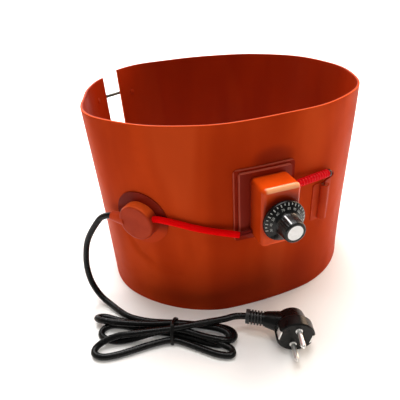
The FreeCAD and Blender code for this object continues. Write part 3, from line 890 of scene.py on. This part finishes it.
@dataclass
class Band:
    """The flexible band, with its rounded rims and the soft dents of real silicone sheet.

    The crease runs from the cap down to the right, by places along the band and heights, in millimetres.
    """

    make: Maker
    height: float = 220.0
    wall: float = 2.4
    round: float = 0.45
    rows: int = 84
    step: float = 2.4
    rim: int = 9  # The section's points between its outer and its inner face.
    crease: tuple[tuple[float, float], ...] = (
        (176, 97), (180.9, 86.6), (190.6, 72.3), (206.8, 60.8), (218.9, 56.9), (236, 55))

    def beside_crease(self, along: float, high: float) -> tuple[float, float]:
        """Finds the crease from a place.

        Args:
            along: The distance along the band, in millimetres.
            high: The height, in millimetres.

        Returns:
            The distance to the crease, and a number whose sign says on which side of it the place is.
        """
        best, side = 1e9, 0.0
        for (s0, z0), (s1, z1) in zip(self.crease, self.crease[1:]):
            run, rise = s1 - s0, z1 - z0
            part = max(0.0, min(1.0, ((along - s0) * run + (high - z0) * rise) / (run * run + rise * rise)))
            near = math.hypot(along - s0 - run * part, high - z0 - rise * part)
            if near < best:
                best, side = near, (along - s0) * -rise + (high - z0) * run
        return best, side

    def dent(self, along: float, high: float) -> float:
        """Finds how far the sheet stands out: the crease, small folds below the leads and two long waves.

        Args:
            along: The distance along the band, in millimetres.
            high: The height, in millimetres.

        Returns:
            The distance from the plain face, in millimetres.
        """
        best, side = self.beside_crease(along, high)
        fade = falloff(along - 205, 42) * falloff(high - 78, 42)
        fold = (-0.9 * math.copysign(falloff(best - 7, 8), side) - 2.3 * falloff(best, 2.2)) * fade
        fold += 0.85 * math.sin(along / 4.6) * falloff(high - 82, 28) * falloff(along - 262, 36)
        wave = 0.55 * math.sin(along / 13.0 + high / 61.0) + 0.5 * math.sin(along / 27.0 - high / 47.0 + 1.3)
        near_box = falloff(along - BOX[0], 60) * falloff(high - 135, 60)
        near_cap = falloff(along - CAP[0], 40) * falloff(high - CAP[1], 40)
        calm = 1.0 - max(near_box, near_cap)
        ends = min(along, LINE.length - along)
        return fold + wave * calm * min(1.0, ends / 60.0)

    def section(self) -> list[tuple[float, float]]:
        """Lists the points round the sheet's section.

        Returns:
            Pairs of height and depth in millimetres: up the outer face, over the top rim and down the inner one.
        """
        radius, rows, wall, top = self.round, self.rows, self.wall, self.height
        points = [(radius + (top - 2 * radius) * index / rows, 0.0) for index in range(rows + 1)]
        turn = [math.pi / 2 * index / 4 for index in range(1, 4)]
        points += [(top - radius + radius * math.sin(a), -radius + radius * math.cos(a)) for a in turn]
        points += [(top, -radius), (top, -wall / 2), (top, radius - wall)]
        points += [(top - radius + radius * math.cos(a), radius - wall - radius * math.sin(a)) for a in turn]
        points += [(top - radius - (top - 2 * radius) * index / rows, -wall) for index in range(rows + 1)]
        points += [(radius - radius * math.sin(a), radius - wall - radius * math.cos(a)) for a in turn]
        points += [(0.0, radius - wall), (0.0, -wall / 2), (0.0, -radius)]
        points += [(radius - radius * math.cos(a), -radius + radius * math.sin(a)) for a in turn]
        return points

    def build(self) -> None:
        """Makes the band and hides the plain one."""
        section = self.section()
        count = int(LINE.length / self.step)
        verts, faces = [], []
        for index in range(count + 1):
            along = LINE.length * index / count
            for high, out in section:
                verts.append(LINE.at(along, high, out + self.dent(along, high) * min(1.0, high / 12.0)))
        size = len(section)
        for index in range(count):
            for row in range(size):
                here, near = index * size + row, index * size + (row + 1) % size
                faces.append((here, near, near + size, here + size))
        # The two ends are closed by a ladder of faces and one face at each rim.
        rows, rim = self.rows, self.rim
        for base in (0, count * size):
            for row in range(rows):
                inner = 2 * rows + 1 + rim - row
                faces.append((base + row, base + row + 1, base + inner, base + inner + 1))
            faces.append(tuple(base + index for index in range(rows, rows + rim + 2)))
            faces.append(tuple(base + index % size for index in range(size - rim - 1, size + 1)))
        band = self.make.piece("band_sheet", verts, faces, "silicone")
        band.data.materials.append(self.make.palette["silicone_inner"])
        # The inner finish runs from the top rim's middle to the bottom rim's inner corner.
        inside = range(rows + 5, 2 * rows + 14)
        for polygon in band.data.polygons[:count * size]:
            polygon.material_index = int(polygon.index % size in inside)
        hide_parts("heater_band")
        self.dabs()

    def dabs(self) -> None:
        """Makes the dabs of silicone over the studs' inner heads."""
        outline = [(0.0, -2.2), (3.5, -2.2), (3.5, -2.8), (3.0, -3.3), (0.0, -3.5)]
        places = {"upper_right": (878.0, 184.9), "lower_right": (878.0, 35.1), "upper_left": (22.0, 197.1),
                  "lower_left": (22.0, 22.9)}
        for name, place in places.items():
            dab = self.make.lathe(f"{name}_dab", outline, LINE.frame(*place), "silicone_inner", sides=24)


@dataclass
class Springs:
    """The two closing springs as real coils with eyes and an open leg.

    Each runs from its right stud to its left one: along the band, high and outward, in millimetres.
    The sizes of the wire are in metres.
    """

    make: Maker
    places: tuple[tuple[str, Place, Place], ...] = (
        ("upper_spring", (878.0, 184.9, 10.0), (22.0, 197.1, 7.5)),
        ("lower_spring", (878.0, 35.1, 10.0), (22.0, 22.9, 7.5)))
    wire: float = 0.0005
    coil: float = 0.0015
    pitch: float = 0.0014
    eye_radius: float = 0.0029
    coil_start: float = 0.009
    coil_share: float = 0.62
    per_turn: int = 14
    lead: int = 10

    def eye(self, centre: Vector, way: Vector, normal: Vector, first: float, last: float) -> list[Vector]:
        """Bends the open eye round a stud.

        Args:
            centre: The stud's middle.
            way: The spring's direction.
            normal: The sheet's outward normal there.
            first: The angle that it starts at, in half turns from the spring's direction.
            last: The angle that it ends at.

        Returns:
            The points of the wire.
        """
        flat = (normal - way * normal.dot(way)).normalized()
        beside = flat.cross(way)
        steps = 27
        points = []
        for index in range(steps + 1):
            angle = math.pi * (first + (last - first) * index / steps)
            points.append(centre + (way * math.cos(angle) + beside * math.sin(angle)) * self.eye_radius)
        return points

    def build(self) -> None:
        """Makes both springs."""
        for name, right, left in self.places:
            start, end = LINE.at(*right), LINE.at(*left)
            way = (end - start).normalized()
            across = way.cross(Vector((0, 0, 1))).normalized()
            up = across.cross(way)
            run = (end - start).length * self.coil_share - self.coil_start
            path = self.eye(start, way, LINE.station(right[0])[2], 0.12, 1.88)
            steps = int(run / self.pitch * self.per_turn)
            for index in range(steps + 1):
                angle = 2 * math.pi * index / self.per_turn
                reach = self.coil * min(1.0, index / self.lead, (steps - index) / self.lead)
                path.append(start + way * (self.coil_start + run * index / steps)
                            + (across * math.cos(angle) + up * math.sin(angle)) * reach)
            path.append(end - way * 0.006)
            path += self.eye(end, way, LINE.station(left[0])[2], 0.88, -0.88)
            thing = self.make.tube(name + "_coil", path, [self.wire] * len(path), "spring_steel", 8)
            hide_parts(name)


@dataclass
class Thermostat:
    """The thermostat's knob and dial."""

    make: Maker
    knob_drop: float = -0.7
    pointer_angle: float = -20.0
    first_angle: float = -105.0
    flutes: int = 20

    @property
    def place(self) -> Matrix:
        """The knob's axis, with Z outward."""
        return LINE.frame(BOX[0], BOX[1] + self.knob_drop)

    def fluted(self, reach: float, high: float, angle: float) -> float:
        """Cuts the flutes into the grip.

        Args:
            reach: The outline's radius, in millimetres.
            high: The outline's height.
            angle: The angle round the knob.

        Returns:
            The radius there.
        """
        low, top = 43.0, 56.5
        if not low < high < top or reach < 9.0:
            return reach
        depth = 0.32 * min(1.0, (high - low) / 2.0) * min(1.0, (top - high) / 0.8)
        return reach - depth * max(0.0, math.cos(angle * self.flutes)) ** 3

    def knob(self) -> None:
        """Makes the knob: skirt, dial cone and fluted grip."""
        outline = [(4.2, 35.2), (6.4, 35.2), (6.4, 34.5), (19.0, 36.3), (19.5, 34.5), (20.1, 34.4),
                   (20.45, 34.7), (20.5, 35.4), (20.5, 37.0), (20.3, 37.6), (19.8, 38.0), (16.2, 39.8),
                   (13.2, 41.3), (12.2, 42.0), (11.6, 42.8), (11.3, 43.8), (11.15, 46.0), (10.95, 49.0),
                   (10.75, 52.0), (10.5, 55.0), (10.3, 56.0), (9.9, 56.8), (9.3, 57.1), (7.9, 57.15),
                   (7.45, 57.0), (7.4, 56.2), (3.1, 56.0)]
        knob = self.make.lathe("knob_grip", outline, self.place, "black_knob", Body.KNOB, 240, self.fluted)
        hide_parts("control_knob")

    def bar(self, verts: list[Vector], faces: list[tuple[int, ...]], angle: float, near: tuple[float, float],
            far: tuple[float, float], wide: float, thick: float = 0.12) -> None:
        """Adds a printed bar at one angle, in millimetres.

        Args:
            verts: The points so far, to add to.
            faces: The faces so far, to add to.
            angle: The angle round the knob, in degrees.
            near: The inner end's radius and height.
            far: The outer end's radius and height.
            wide: The bar's width.
            thick: How far it stands out.
        """
        sunk = 0.03
        turn = math.radians(angle)
        out = Vector((math.sin(turn), math.cos(turn), 0))
        side = Vector((math.cos(turn), -math.sin(turn), 0))
        ends = [out * near[0] + Vector((0, 0, near[1])), out * far[0] + Vector((0, 0, far[1]))]
        lift = (ends[1] - ends[0]).cross(side).normalized()
        if lift.z + lift.dot(out) < 0:
            lift = -lift
        base = len(verts)
        for point in ends:
            for across in (-wide / 2, wide / 2):
                for rise in (-sunk, thick):
                    verts.append(self.place @ ((point + side * across + lift * rise) * MM))
        for face in ((0, 1, 3, 2), (4, 6, 7, 5), (0, 4, 5, 1), (2, 3, 7, 6), (1, 5, 7, 3), (0, 2, 6, 4)):
            faces.append(tuple(base + index for index in face))

    def print_marks(self) -> None:
        """Makes the dial's ticks and the pointer line."""
        verts: list[Vector] = []
        faces: list[tuple[int, ...]] = []
        for index in range(25):
            inner = 17.3 if index % 2 == 0 else 18.0
            angle = self.first_angle + index * 11.25
            self.bar(verts, faces, angle, (inner, 38.0 + (19.8 - inner) * 0.5), (19.6, 38.1), 0.85)
        marks = self.make.piece("dial_marks", verts, faces, "print_faded", Body.KNOB, False)
        verts, faces = [], []
        self.bar(verts, faces, self.pointer_angle, (11.35, 43.6), (10.5, 55.6), 1.2, 0.25)
        pointer = self.make.piece("pointer_line", verts, faces, "print_white", Body.KNOB, False)

    def numbers(self) -> None:
        """Makes the dial's numbers as flat letters on the cone."""
        for index, value in enumerate(range(30, 160, 10)):
            angle = self.first_angle + 22.5 * index
            curve = bpy.data.curves.new(f"number_{value}", "FONT")
            curve.body = str(value)
            curve.size = 0.0032
            curve.align_x, curve.align_y = "CENTER", "CENTER"
            curve.extrude = 0.00008
            curve.resolution_u = 2
            source = bpy.data.objects.new(f"number_{value}", curve)
            bpy.context.collection.objects.link(source)
            bpy.context.view_layer.update()
            mesh = bpy.data.meshes.new_from_object(source)
            bpy.data.objects.remove(source)
            turn = math.radians(angle)
            spot = Matrix.Translation((math.sin(turn) * 0.0149, math.cos(turn) * 0.0149, 0.0405))
            tilt = Matrix.Rotation(-turn, 4, "Z") @ Matrix.Rotation(-0.46, 4, "X")
            mesh.transform(self.place @ spot @ tilt)
            mesh.materials.clear()
            mesh.materials.append(self.make.palette["print_faded"])
            thing = bpy.data.objects.new(f"dial_number_{value}", mesh)
            bpy.context.collection.objects.link(thing)
            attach(thing, Body.KNOB.value)

    def build(self) -> None:
        """Makes every piece of the thermostat that has its own mesh."""
        self.knob()
        self.print_marks()
        self.numbers()


@dataclass
class Sleeves:
    """The red braid on the sensor's capillary, in metres."""

    make: Maker
    radius: float = 0.00372
    ripple: float = 0.00046
    pitch: float = 0.0033

    def build(self) -> None:
        """Makes the corrugated sleeve of the capillary and its dark end ring."""
        points = [LINE.frame(*BOX) @ Vector((0.0172, 0.0149, 0.0075)), LINE.at(358.0, 150.1, 7.4),
                  LINE.at(371.0, 150.6, 6.4), LINE.at(384.0, 150.3, 5.6), LINE.at(396.8, 149.5, 5.4)]
        path = smooth_path(points, 24)
        travelled, radii = 0.0, []
        for index, point in enumerate(path):
            if index:
                travelled += (point - path[index - 1]).length
            radii.append(self.radius + self.ripple * math.sin(travelled / self.pitch * 2 * math.pi))
        sleeve = self.make.tube("capillary_sleeve_braid", path, radii, "red_braid", 28)
        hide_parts("capillary_sleeve")
        way = (path[-1] - path[-4]).normalized()
        place = Matrix.Translation(path[-1] - way * 0.0012) @ way.to_track_quat("Z", "Y").to_matrix().to_4x4()
        outline = [(1.5, 0.0), (3.75, 0.0), (3.85, 0.4), (3.85, 1.6), (3.5, 2.1), (2.4, 2.2), (2.0, 1.6),
                   (1.5, 1.4)]
        ring = self.make.lathe("sleeve_end_ring", outline, place, "black_knob")


@dataclass
class Cord:
    """The mains cord: out of the cap, down to the floor, through the tied hank and on to the plug.

    All places are in millimetres. The turns are measured from the hank's centre: along it, across it and up.
    """

    make: Maker
    centre: Vector = field(default_factory=lambda: Vector((-110.1, -123.9, 0)))
    way: Vector = field(default_factory=lambda: Vector((0.910, -0.415, 0)).normalized())
    hanging: tuple[Place, ...] = (
        (-165.5, -37.2, 103.8), (-178.6, -30.6, 82.0), (-184.4, -29.4, 61.0), (-187.2, -31.0, 41.0),
        (-185.4, -37.0, 23.0), (-178.0, -47.0, 8.4), (-168.5, -59.5, 4.2), (-160.5, -73.5, 3.9))
    turns: tuple[Place, ...] = (
        (-54, 17.8, 3.8), (-34, 13.6, 3.9), (-18, 12.6, 4.2), (0, 12.5, 4.9), (26, 12.0, 4.2),
        (48, 11.0, 3.9), (60, 7.0, 4.2), (65, -1.0, 5.4), (61, -9.5, 8.0), (48, -10.5, 10.0),
        (30, -7.5, 10.6), (14, -1.5, 9.0), (0, 5.5, 5.0), (-25, 7.0, 3.9), (-48, 9.0, 3.8),
        (-70, 14.0, 3.8), (-83, 17.0, 4.6), (-91, 11.5, 7.6), (-81, 5.0, 10.6), (-58, 3.5, 10.8),
        (-30, 3.0, 11.2), (0, 6.5, 11.6), (28, 5.5, 11.0), (48, 3.5, 10.0), (58, -1.5, 9.0),
        (59, -8.0, 6.0), (52, -13.0, 4.4), (38, -11.5, 3.9), (20, -6.5, 4.4), (0, -2.0, 4.9),
        (-28, 0.0, 4.0), (-50, 4.5, 3.8), (-66, 6.5, 3.8), (-76, 3.5, 3.8), (-80, -4.0, 3.8),
        (-76, -11.5, 3.8), (-62, -15.5, 3.8), (-46, -13.5, 4.6), (-26, -7.5, 8.6), (0, -0.5, 11.6),
        (22, -4.5, 10.8), (42, -10.5, 8.0), (55, -13.5, 5.2), (62.5, -16.5, 4.0), (63.5, -24.0, 3.8),
        (50, -24.0, 3.8), (34, -19.0, 3.8), (15, -12.5, 4.2), (0, -9.0, 4.9), (-20, -15.5, 4.2),
        (-44, -27.0, 3.8), (-60, -33.5, 3.8), (-71, -35.0, 3.8), (-79, -31.0, 3.9), (-78, -23.5, 5.2),
        (-68, -16.8, 8.4), (-55, -13.3, 11.6), (-41, -12.0, 13.4), (-18, -7.6, 14.6), (0, -4.0, 15.2),
        (22, 1.8, 16.0), (40, 6.4, 16.8), (54, 9.6, 17.8))
    to_plug: tuple[Place, ...] = ((-45.0, -138.3, 18.9), (-35.9, -143.1, 19.2))

    @property
    def across(self) -> Vector:
        """The hank's level direction across its length."""
        return Vector((-self.way.y, self.way.x, 0))

    def points(self) -> list[Vector]:
        """Lists the route's control points, in metres."""
        leave = LINE.frame(*CAP) @ Vector((-0.0335, -0.002, 0.0055))
        outward = -LINE.station(CAP[0])[1]
        second = leave + outward * 0.012 + Vector((-0.0004, -0.0012, -0.0012))
        hank = [self.centre + self.way * u + self.across * v + Vector((0, 0, z)) for u, v, z in self.turns]
        rest = [Vector(point) for point in self.hanging] + hank + [Vector(point) for point in self.to_plug]
        return [leave, second] + [point * MM for point in rest]

    def build(self) -> None:
        points = self.points()
        curve = laid_curve("mains_lead", points, 10)
        curve.bevel_depth = 0.0034
        curve.bevel_resolution = 5
        curve.use_fill_caps = True
        curve.materials.append(self.make.palette["cord_sheath"])
        cord = bpy.data.objects.new("mains_lead", curve)
        bpy.context.collection.objects.link(cord)
        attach(cord, Body.HEATER.value)
        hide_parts("mains_cord", "cord_hank", "cord_tail")
        tie = self.tie()
        nodes = [bpy.data.objects[name] for name in ("plug_body", "plug_insert", "plug_pins", "earth_clips")]
        nodes += self.collars()
        path = smooth_path(points, 10)
        length = sum((b - a).length for a, b in zip(path, path[1:]))
        LOG.info("cord length %.3f m", length)
        relief = bpy.data.objects["cord_relief"]
        tuple(points[0])

    def collars(self) -> list[bpy.types.Object]:
        """Makes the bright collars at the pins' feet.

        Returns:
            The collars.
        """
        turn = Vector((-0.2884, -0.9575, 0)).to_track_quat("Z", "Y").to_matrix().to_4x4()
        outline = [(2.45, 0.0), (3.5, 0.0), (3.5, 0.45), (3.1, 0.7), (2.45, 0.7)]
        made = []
        for name, foot in (("high", (0.662, -186.082, 28.452)), ("low", (-3.862, -184.719, 10.048))):
            place = Matrix.Translation(Vector(foot) * MM) @ turn
            collar = self.make.lathe(f"pin_collar_{name}", outline, place, "clip_steel")
            made.append(collar)
        return made

    def tie(self) -> bpy.types.Object:
        """Makes the thin tie round the hank's waist.

        Returns:
            The tie.
        """
        outline = [(-13.5, 3.2), (-12.6, 1.4), (-10, 0.9), (12, 0.9), (15.4, 1.5), (16.6, 4.5), (16.2, 7.6),
                   (11.5, 13.6), (4.0, 18.6), (-1.0, 20.4), (-5.4, 19.6), (-8.8, 15.6), (-12.4, 9.0)]
        ring = [(self.centre + self.across * v + Vector((0, 0, z))) * MM for v, z in outline]
        dense = []
        count, steps = len(ring), 5
        for index in range(count):
            a, b, c, d = (ring[(index + shift) % count] for shift in (-1, 0, 1, 2))
            for step in range(steps):
                t = step / steps
                dense.append(0.5 * ((2 * b) + (c - a) * t + (2 * a - 5 * b + 4 * c - d) * t * t
                                    + (3 * b - a - 3 * c + d) * t ** 3))
        verts, faces = [], []
        section = [(-1.6, -0.1), (-1.6, 0.5), (-0.6, 0.9), (0.6, 0.9), (1.6, 0.5), (1.6, -0.1)]
        middle = sum(dense, Vector()) / len(dense)
        for point in dense:
            out = (point - middle).normalized()
            for along, lift in section:
                verts.append(point + self.way * along * MM + out * lift * MM)
        sides = len(section)
        for index in range(len(dense)):
            here, there = index * sides, (index + 1) % len(dense) * sides
            for side in range(sides):
                near = (side + 1) % sides
                faces.append((here + side, here + near, there + near, there + side))
        tie = self.make.piece("hank_tie", verts, faces, "cord_sheath")
        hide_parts("cord_tie")
        return tie


@dataclass
class Studio:
    """The camera, the floor and the lights."""

    place: Place = (-0.14860, -0.40316, 0.33731)
    yaw: float = math.radians(15.555)
    pitch: float = math.radians(31.488)
    roll: float = math.radians(-4.3345)
    lens: float = 34.94

    def camera(self) -> None:
        """Sets the camera at the photograph's place."""
        data = bpy.data.cameras.new("camera")
        data.lens, data.sensor_width, data.clip_start = self.lens, 36.0, 0.01
        level = math.cos(self.pitch)
        forward = Vector((math.sin(self.yaw) * level, math.cos(self.yaw) * level, -math.sin(self.pitch)))
        right = Vector((math.cos(self.yaw), -math.sin(self.yaw), 0))
        up = right.cross(forward)
        cosine, sine = math.cos(self.roll), math.sin(self.roll)
        axis_x, axis_y = right * cosine + up * sine, up * cosine - right * sine
        turn = Matrix((axis_x, axis_y, -forward)).transposed().to_4x4()
        camera = bpy.data.objects.new("camera", data)
        camera.matrix_world = Matrix.Translation(self.place) @ turn
        bpy.context.collection.objects.link(camera)
        bpy.context.scene.camera = camera

    def floor(self) -> None:
        """Makes the pale seamless floor, which rises behind the part and glows a little."""
        mesh = bpy.data.meshes.new("floor")
        verts, faces = [], []
        count, half, near, deep, bend = 24, 4.0, -3.0, 6.0, 1.2
        for row in range(count + 1):
            depth = near + deep * row / count
            rise = 0.0 if depth < bend else (depth - bend) ** 2 * 0.8
            verts += [(-half, depth, rise), (half, depth, rise)]
        for row in range(count):
            faces.append((row * 2, row * 2 + 1, row * 2 + 3, row * 2 + 2))
        mesh.from_pydata(verts, [], faces)
        floor = bpy.data.objects.new("floor", mesh)
        surface = Surface("floor_white")
        tone = surface.noise(3.0, 2.0)
        surface.set(Base_Color=surface.blend(tone.ramp(0.3, 0.7), (0.90, 0.885, 0.86), (0.92, 0.91, 0.89)),
                    Roughness=0.55 + tone * 0.05, Specular_IOR_Level=0.3,
                    Emission_Color=(1.0, 1.0, 0.99, 1.0), Emission_Strength=0.10)
        mesh.materials.append(surface.material)
        for polygon in mesh.polygons:
            polygon.use_smooth = True
        bpy.context.collection.objects.link(floor)

    def area(self, name: str, place: Place, aim: Place, size: float, power: float,
             color: Color = (1, 1, 1)) -> None:
        """Adds one round soft box.

        Args:
            name: The light's name.
            place: Where it hangs, in metres.
            aim: The point that it faces.
            size: Its diameter, in metres.
            power: Its power, in watts.
            color: Its colour.
        """
        data = bpy.data.lights.new(name, "AREA")
        data.shape, data.size, data.energy, data.color = "DISK", size, power, color
        light = bpy.data.objects.new(name, data)
        light.location = place
        light.rotation_euler = (Vector(aim) - Vector(place)).to_track_quat("-Z", "Y").to_euler()
        bpy.context.collection.objects.link(light)

    def lights(self) -> None:
        """Sets the soft boxes and the white surroundings."""
        world = bpy.data.worlds.new("studio")
        world.use_nodes = True
        world.node_tree.nodes["Background"].inputs[0].default_value = (1.0, 0.985, 0.96, 1)
        world.node_tree.nodes["Background"].inputs[1].default_value = 0.22
        bpy.context.scene.world = world
        self.area("key", (0.10, 0.42, 1.45), (0.0, 0.02, 0.0), 1.3, 36.0)
        self.area("left_edge", (-1.2, 0.3, 0.5), (-0.1, 0, 0.1), 0.7, 1.7, (1.0, 0.72, 0.52))
        self.area("right_edge", (1.2, 0.2, 0.5), (0.1, 0, 0.1), 0.7, 10.5, (1.0, 0.72, 0.50))
        self.area("glint", (0.0, -0.72, 1.30), (0, -0.14, 0.15), 0.16, 2.6, (1.0, 0.93, 0.84))
        self.area("backdrop", (0.0, 1.6, 2.4), (0, 3.2, 0.6), 1.6, 90.0)

    def grade(self) -> None:
        """Sets the view transform."""
        scene = bpy.context.scene
        scene.view_settings.view_transform = "Standard"
        scene.view_settings.look = "None"
        scene.view_settings.exposure = 0.0

    def build(self) -> None:
        """Sets the whole studio."""
        self.camera()
        self.floor()
        self.lights()
        self.grade()


def dress_nodes(frame: dict, palette: Palette) -> None:
    """Gives every carried-over node the finish of its slot.

    Args:
        palette: The finishes.
    """
    for part in frame["record"]["subparts"]:
        thing = bpy.data.objects.get(part["node"])
        if thing is None:
            continue
        finish = palette[OWN_FINISH.get(part["node"], part["material_slot"])]
        if not thing.material_slots:
            thing.data.materials.append(finish)
        for slot in thing.material_slots:
            slot.link = "OBJECT"
            slot.material = finish


def main() -> None:
    """Builds the scene."""
    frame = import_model()
    palette = Palette()
    make = Maker(palette)
    studio = Studio()
    studio.build()
    Cord(make).build()
    dress_nodes(frame, palette)
    Band(make).build()
    Springs(make).build()
    Thermostat(make).build()
    Sleeves(make).build()


if __name__ == "__main__":
    main()
